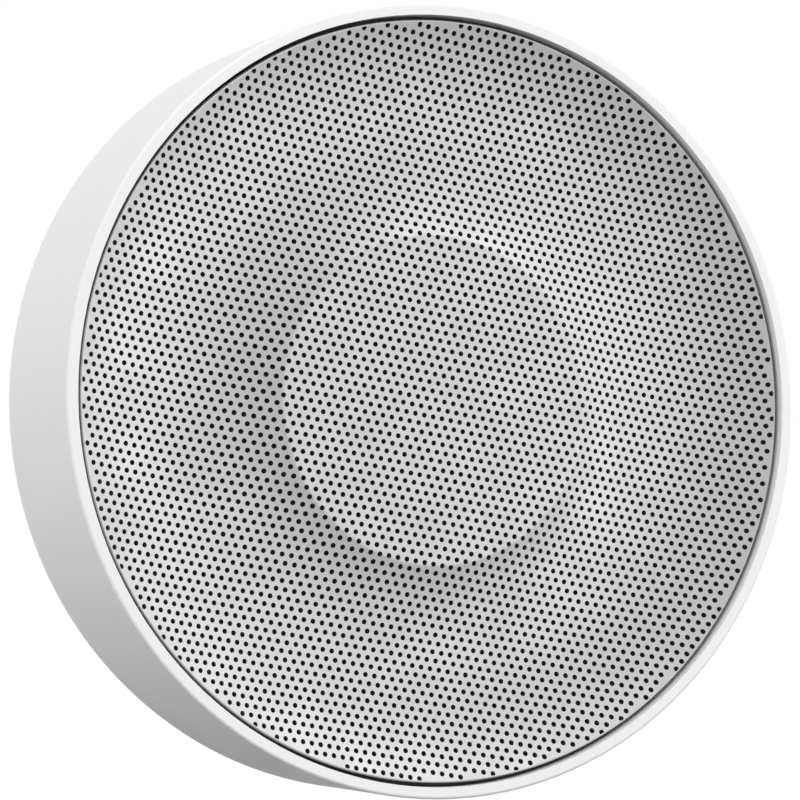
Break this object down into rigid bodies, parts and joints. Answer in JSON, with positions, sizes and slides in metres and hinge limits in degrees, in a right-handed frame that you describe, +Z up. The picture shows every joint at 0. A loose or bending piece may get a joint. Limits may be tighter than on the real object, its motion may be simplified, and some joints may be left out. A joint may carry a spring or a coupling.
{
  "type": "smart speaker",
  "caption": "Round wall-mounted smart speaker: white case with a narrow lip, dished perforated metal grille, full-range driver, side keys and a bayonet wall plate.",
  "frame": {"origin": "centre of the wall plate's flat face, on the wall", "axes": "+Y into the wall, -Y the way the grille faces, +Z up the wall, +X to the right seen from the front"},
  "size_m": [0.1003, 0.0304, 0.1],
  "materials": {
    "shell_white": "fine satin moulding, white",
    "cover_white": "spark-eroded matt moulding, off-white",
    "key_white": "satin key tops, white",
    "grille_metal": "satin silver, perforated",
    "dust_cloth": "fine black acoustic cloth",
    "trim_black": "matt black elastomer",
    "pad_grey": "matt grey rubber",
    "inner_plastic": "black glass-filled moulding",
    "screw_steel": "zinc-plated steel",
    "motor_steel": "plated motor steel",
    "ferrite": "sintered ferrite, dark grey",
    "paper_cone": "pressed black pulp",
    "spider_cloth": "impregnated yellow-brown cloth",
    "coil_copper": "enamelled copper wire",
    "former_film": "amber film",
    "board_green": "green solder mask",
    "chip_black": "moulded package",
    "can_metal": "tinned sheet can",
    "battery_wrap": "blue heat-shrink wrap",
    "lead_black": "black insulated wire",
    "ribbon_amber": "amber flexible circuit",
    "contact_brass": "tinned brass"
  },
  "bodies": {
    "wall_mount": {"wall_plate": "cover_white"},
    "speaker": {"housing": "shell_white", "rear_cover": "cover_white", "rear_cover_screws": "screw_steel", "wall_pads": "pad_grey", "front_baffle": "inner_plastic", "baffle_screws": "screw_steel", "baffle_seal": "trim_black", "grille": "grille_metal", "grille_cloth": "dust_cloth", "grille_trim": "trim_black", "driver_yoke": "motor_steel", "driver_magnet": "ferrite", "driver_top_plate": "motor_steel", "driver_basket": "inner_plastic", "driver_gasket": "trim_black", "driver_screws": "screw_steel", "driver_terminals": "contact_brass", "driver_leads": "lead_black", "driver_surround": "trim_black", "driver_spider": "spider_cloth", "main_board": "board_green", "board_screws": "screw_steel", "processor_shield": "can_metal", "wireless_module": "can_metal", "amplifier_chip": "chip_black", "capacitors": "can_metal", "inductors": "ferrite", "board_connectors": "inner_plastic", "battery_tray": "inner_plastic", "battery_pack": "battery_wrap", "battery_leads": "lead_black", "usb_board": "board_green", "usb_socket": "can_metal", "usb_board_screws": "screw_steel", "usb_lead": "lead_black", "microphone_boards": "board_green", "microphones": "can_metal", "microphone_seals": "trim_black", "key_board": "board_green", "key_switches": "chip_black", "key_ribbon": "ribbon_amber", "reset_switch": "chip_black"},
    "diaphragm": {"cone": "paper_cone", "dust_cap": "paper_cone", "voice_coil_former": "former_film", "voice_coil": "coil_copper"},
    "volume_up": {"volume_up_key": "key_white", "volume_up_plunger": "chip_black"},
    "mute": {"mute_key": "key_white", "mute_plunger": "chip_black"},
    "volume_down": {"volume_down_key": "key_white", "volume_down_plunger": "chip_black"},
    "reset": {"reset_button": "inner_plastic", "reset_plunger": "chip_black"}
  },
  "joints": [
    {"name": "bayonet_twist", "type": "hinge", "parent": "wall_mount", "child": "speaker", "pos_m": [0, 0, 0], "axis": [0, 1, 0], "range_deg": [0, 30]},
    {"name": "diaphragm_travel", "type": "slide", "parent": "speaker", "child": "diaphragm", "axis": [0, -1, 0], "range_m": [-0.0012, 0.0012], "stiffness_N_per_m": 1500, "deforming": ["driver_surround", "driver_spider"]},
    {"name": "volume_up_press", "type": "slide", "parent": "speaker", "child": "volume_up", "axis": [-1, 0, 0], "range_m": [0, 0.0005], "stiffness_N_per_m": 2000},
    {"name": "mute_press", "type": "slide", "parent": "speaker", "child": "mute", "axis": [-1, 0, 0], "range_m": [0, 0.0005], "stiffness_N_per_m": 2000},
    {"name": "volume_down_press", "type": "slide", "parent": "speaker", "child": "volume_down", "axis": [-1, 0, 0], "range_m": [0, 0.0005], "stiffness_N_per_m": 2000},
    {"name": "reset_press", "type": "slide", "parent": "speaker", "child": "reset", "axis": [0, -1, 0], "range_m": [0, 0.0005], "stiffness_N_per_m": 2000}
  ]
}
